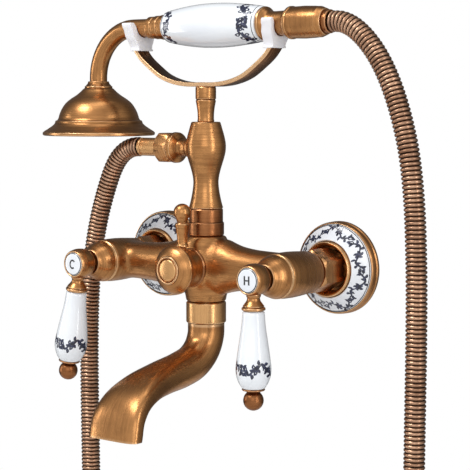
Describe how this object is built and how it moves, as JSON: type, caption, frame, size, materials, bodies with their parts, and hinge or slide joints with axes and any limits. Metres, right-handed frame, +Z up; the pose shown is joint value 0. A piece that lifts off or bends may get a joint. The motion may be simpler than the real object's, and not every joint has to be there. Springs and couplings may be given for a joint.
{
  "type": "wall mounted bath faucet",
  "caption": "Wall mounted two-handle bath mixer in antique brass with porcelain levers, swivel spout, diverter, and a cradled hand shower on a hose.",
  "frame": {"origin": "on the wall plane, halfway between the two wall inlets", "axes": "+X to the right seen from the front, +Y into the wall, +Z up"},
  "size_m": [0.3098, 0.159, 0.666],
  "materials": {
    "antique_brass": "brushed antique copper-brown",
    "plain_brass": "machined",
    "painted_porcelain": "white gloss glaze with a dark blue scroll band",
    "white_plastic": "satin white",
    "seal_rubber": "matt",
    "screw_steel": "machined",
    "hose_bronze": "corrugated, darker in the grooves"
  },
  "bodies": {
    "root": {"hot_wall_flange": "antique_brass", "hot_flange_cup": "antique_brass", "hot_union_nut": "antique_brass", "hot_bonnet": "antique_brass", "hot_wall_union": "plain_brass", "hot_cartridge": "plain_brass", "hot_flange_ring": "painted_porcelain", "hot_union_washer": "seal_rubber", "cold_wall_flange": "antique_brass", "cold_flange_cup": "antique_brass", "cold_union_nut": "antique_brass", "cold_bonnet": "antique_brass", "cold_wall_union": "plain_brass", "cold_cartridge": "plain_brass", "cold_flange_ring": "painted_porcelain", "cold_union_washer": "seal_rubber", "mixer_body": "antique_brass", "diverter_bonnet": "antique_brass", "spout_nut": "antique_brass", "riser_nut": "antique_brass", "riser_column": "antique_brass", "cradle_post": "antique_brass", "cradle_band": "antique_brass", "hose_nut_riser": "antique_brass", "hose_ferrule_riser": "antique_brass", "diverter_cartridge": "white_plastic", "fork_left": "white_plastic", "fork_right": "white_plastic", "post_grub_screw": "screw_steel", "hose_run_fixed": "hose_bronze"},
    "hot_lever": {"hot_stem": "plain_brass", "hot_lever_hub": "antique_brass", "hot_index_button": "painted_porcelain", "hot_handle_screw": "screw_steel", "hot_lever_collar": "antique_brass", "hot_lever_porcelain": "painted_porcelain", "hot_lever_finial": "antique_brass"},
    "cold_lever": {"cold_stem": "plain_brass", "cold_lever_hub": "antique_brass", "cold_index_button": "painted_porcelain", "cold_handle_screw": "screw_steel", "cold_lever_collar": "antique_brass", "cold_lever_porcelain": "painted_porcelain", "cold_lever_finial": "antique_brass"},
    "diverter_handle": {"diverter_stem": "plain_brass", "diverter_hub": "antique_brass", "diverter_cap": "antique_brass", "diverter_lever": "antique_brass"},
    "spout": {"spout": "antique_brass", "spout_o_ring": "seal_rubber"},
    "handset": {"neck_tube": "antique_brass", "neck_ferrule": "antique_brass", "handset_grip": "painted_porcelain", "handset_tail": "antique_brass", "shower_bell": "antique_brass", "spray_plate": "screw_steel", "hose_nut_handset": "antique_brass", "hose_ferrule_handset": "antique_brass", "hose_run_handset": "hose_bronze"}
  },
  "joints": [
    {"name": "hot_lever_turn", "type": "hinge", "parent": "root", "child": "hot_lever", "pos_m": [0.075, -0.0927, 0], "axis": [0, -1, 0], "range_deg": [0, 90]},
    {"name": "cold_lever_turn", "type": "hinge", "parent": "root", "child": "cold_lever", "pos_m": [-0.075, -0.0927, 0], "axis": [0, 1, 0], "range_deg": [-9, 81]},
    {"name": "diverter_turn", "type": "hinge", "parent": "root", "child": "diverter_handle", "pos_m": [0, -0.0731, 0], "axis": [0, 1, 0], "range_deg": [0, 90]},
    {"name": "spout_swivel", "type": "hinge", "parent": "root", "child": "spout", "pos_m": [0, -0.0493, -0.0381], "axis": [0, 0, 1], "range_deg": [-35, 35]},
    {"name": "handset_lift", "type": "slide", "parent": "root", "child": "handset", "axis": [0, 0, 1], "range_m": [0, 0.05]}
  ]
}
